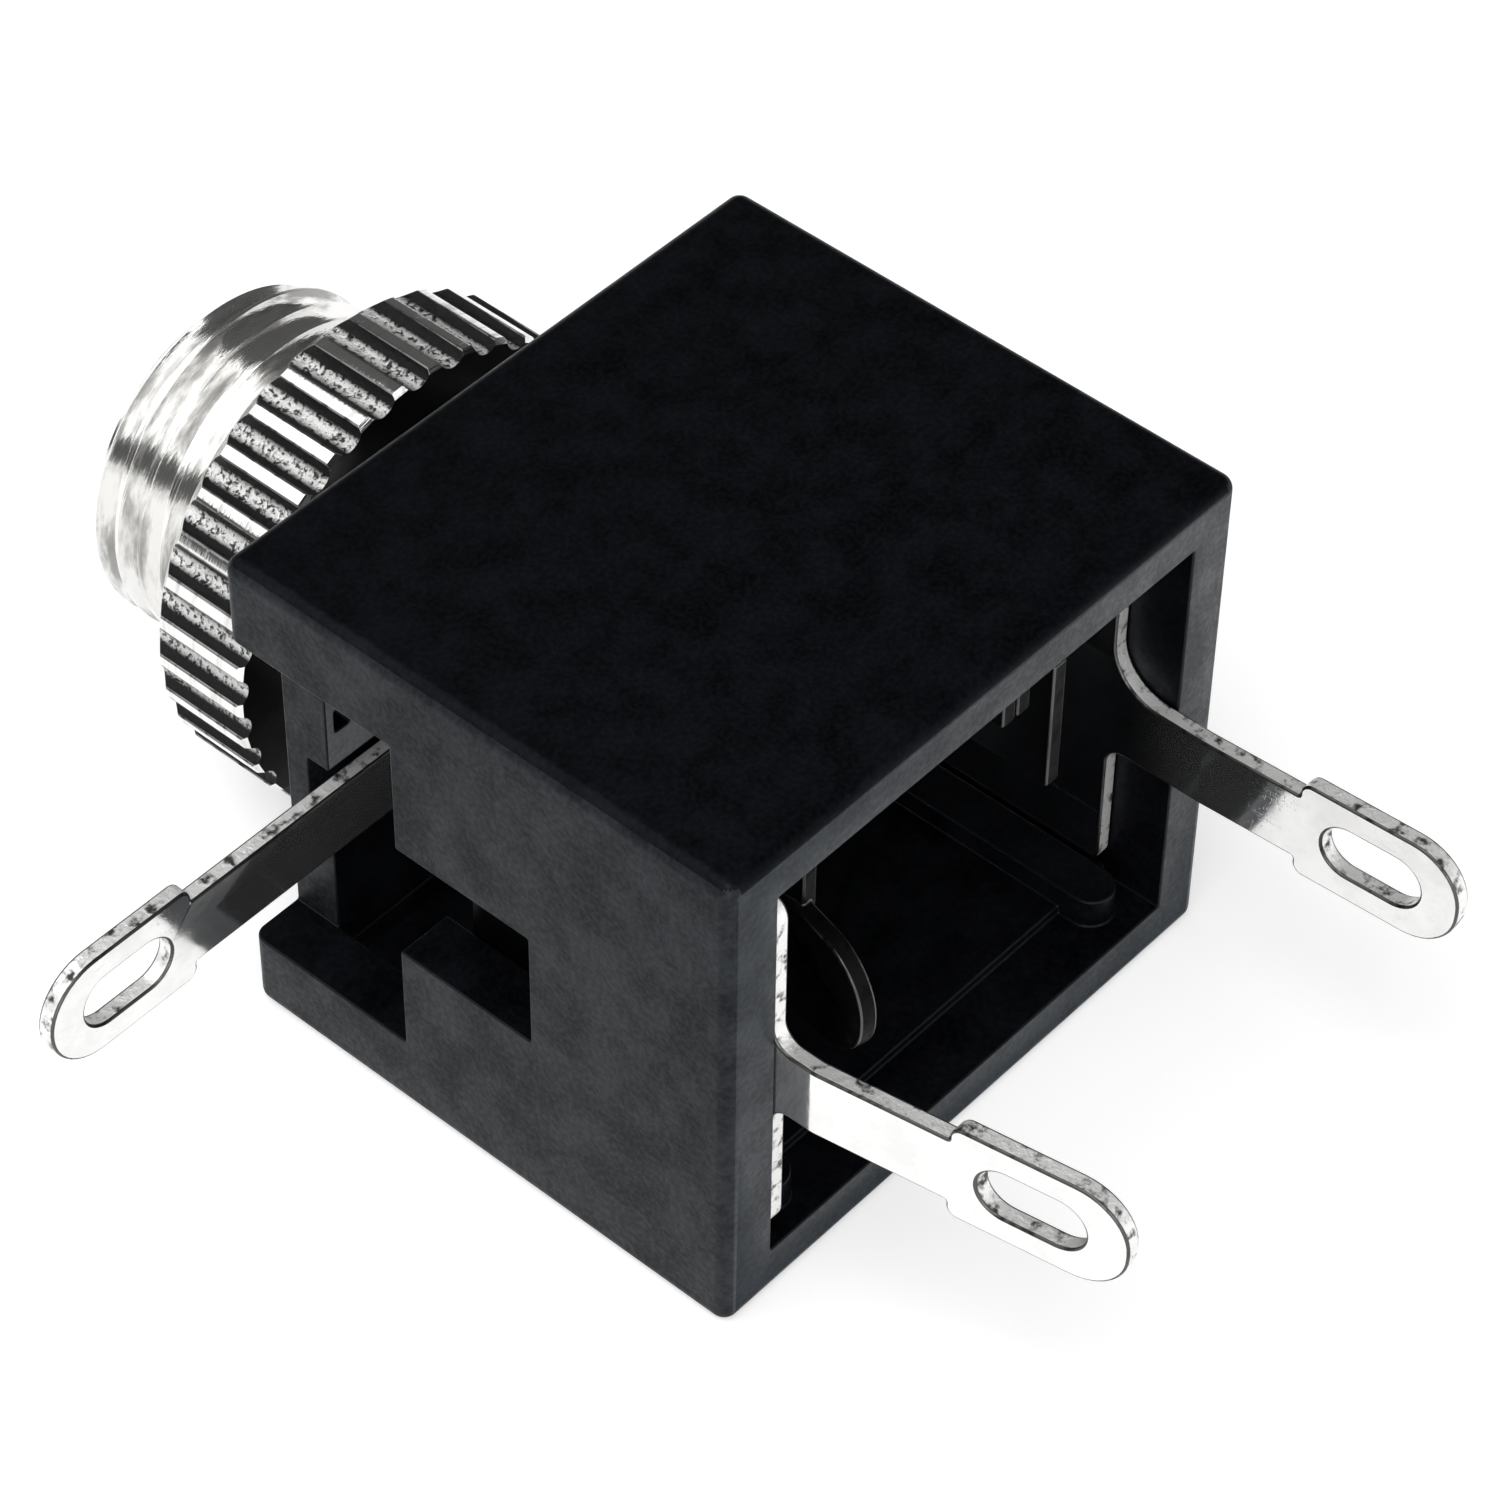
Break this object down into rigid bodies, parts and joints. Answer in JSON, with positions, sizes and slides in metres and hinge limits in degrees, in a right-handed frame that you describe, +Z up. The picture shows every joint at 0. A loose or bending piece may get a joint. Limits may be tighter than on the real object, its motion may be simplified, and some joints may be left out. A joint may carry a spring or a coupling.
{
  "type": "mono jack panel socket",
  "caption": "Black moulded panel jack socket with an open rear, a threaded nickel-plated bush, a fluted ring nut, a side solder lug and two rear solder lugs on folded contacts.",
  "frame": {"origin": "on the bush axis, in the plane of the housing's front face, where a panel seats", "axes": "-Y along the bush axis, the way a plug leaves; +Y out of the open rear; +Z up, off the flat underside; +X towards the side solder lug"},
  "size_m": [0.0162, 0.0218, 0.0095],
  "materials": {
    "black_moulding": "black moulded plastic, fine satin spark-eroded grain",
    "nickel_plate": "turned brass, bright nickel plating",
    "silvered_sheet": "stamped brass sheet, bright silver plating"
  },
  "bodies": {
    "jack": {"housing": "black_moulding", "threaded_bush": "nickel_plate", "sleeve_terminal": "silvered_sheet", "tip_contact": "silvered_sheet", "break_contact": "silvered_sheet"},
    "nut": {"fluted_nut": "nickel_plate"}
  },
  "joints": [
    {"name": "nut_travel", "type": "slide", "parent": "jack", "child": "nut", "axis": [0, -1, 0], "range_m": [-0.00145, 0.005]}
  ]
}
